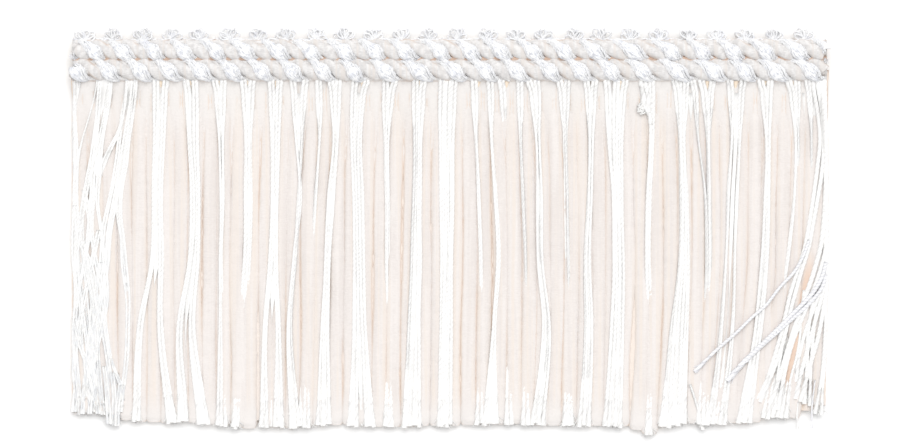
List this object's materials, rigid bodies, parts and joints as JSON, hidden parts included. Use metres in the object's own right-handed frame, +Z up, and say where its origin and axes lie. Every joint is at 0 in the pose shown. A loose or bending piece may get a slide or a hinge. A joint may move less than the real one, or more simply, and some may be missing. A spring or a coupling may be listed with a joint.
{
  "type": "cut fringe",
  "caption": "Length of cut fringe lying flat, with a roped heading, a picot edge and a skirt of chenille and rayon yarns.",
  "frame": {"origin": "centre of the fringe's bounding box, on its underside, which lies on the surface", "axes": "+X along the length of the fringe, +Y from the cut ends to the heading, +Z up from the surface"},
  "size_m": [0.1676, 0.0902, 0.0049],
  "materials": {
    "chenille_skirt": "matte velvety chenille with white rayon yarns between",
    "roped_rayon_and_chenille": "glossy white rayon floats beside matte beige chenille",
    "rayon_yarn": "glossy two-ply twisted rayon"
  },
  "bodies": {
    "root": {"skirt": "chenille_skirt", "upper_row": "roped_rayon_and_chenille", "lower_row": "roped_rayon_and_chenille", "picot_edge": "rayon_yarn", "holding_stitch": "rayon_yarn"}
  },
  "joints": []
}
